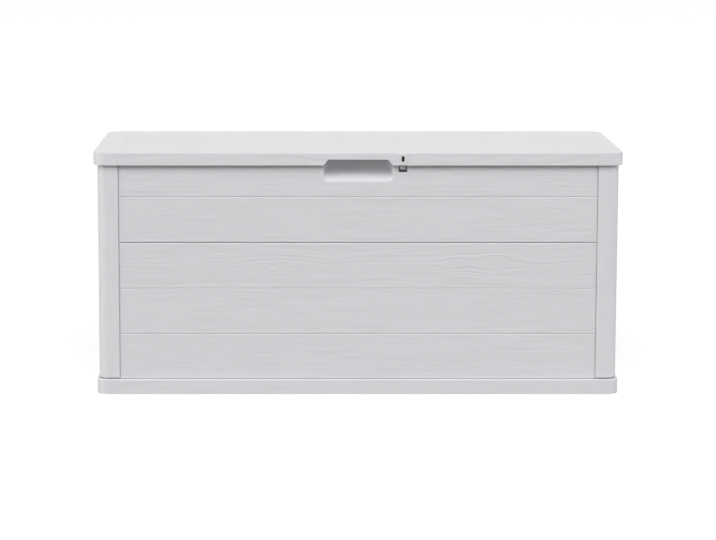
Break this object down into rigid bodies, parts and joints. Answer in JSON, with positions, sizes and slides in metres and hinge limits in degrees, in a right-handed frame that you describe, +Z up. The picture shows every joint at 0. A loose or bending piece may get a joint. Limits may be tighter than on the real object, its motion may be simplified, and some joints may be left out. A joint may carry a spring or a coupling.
{
  "type": "garden storage box",
  "caption": "Low outdoor storage box with wood-look plank walls, rounded corner posts, a base tray and a hinged flat lid with a finger scoop and a padlock slot.",
  "frame": {"origin": "on the ground, under the middle of the box", "axes": "+X along the width, to the right when facing the front; +Y from the front to the back; +Z up"},
  "size_m": [1.17, 0.45, 0.542],
  "materials": {
    "resin": "matt light grey moulded resin with embossed wood grain",
    "pin_resin": "satin mid grey moulded resin"
  },
  "bodies": {
    "box": {"base_tray": "resin", "corner_post_front_left": "resin", "corner_post_front_right": "resin", "corner_post_rear_left": "resin", "corner_post_rear_right": "resin", "front_panel_lower": "resin", "front_panel_upper": "resin", "rear_panel_lower": "resin", "rear_panel_upper": "resin", "left_panel_lower": "resin", "left_panel_upper": "resin", "right_panel_lower": "resin", "right_panel_upper": "resin", "hinge_pin_1": "pin_resin", "hinge_pin_2": "pin_resin", "hinge_pin_3": "pin_resin", "hinge_pin_4": "pin_resin"},
    "lid": {"lid": "resin"}
  },
  "joints": [
    {"name": "lid_hinge", "type": "hinge", "parent": "box", "child": "lid", "pos_m": [0, 0.218, 0.527], "axis": [-1, 0, 0], "range_deg": [0, 98]}
  ]
}
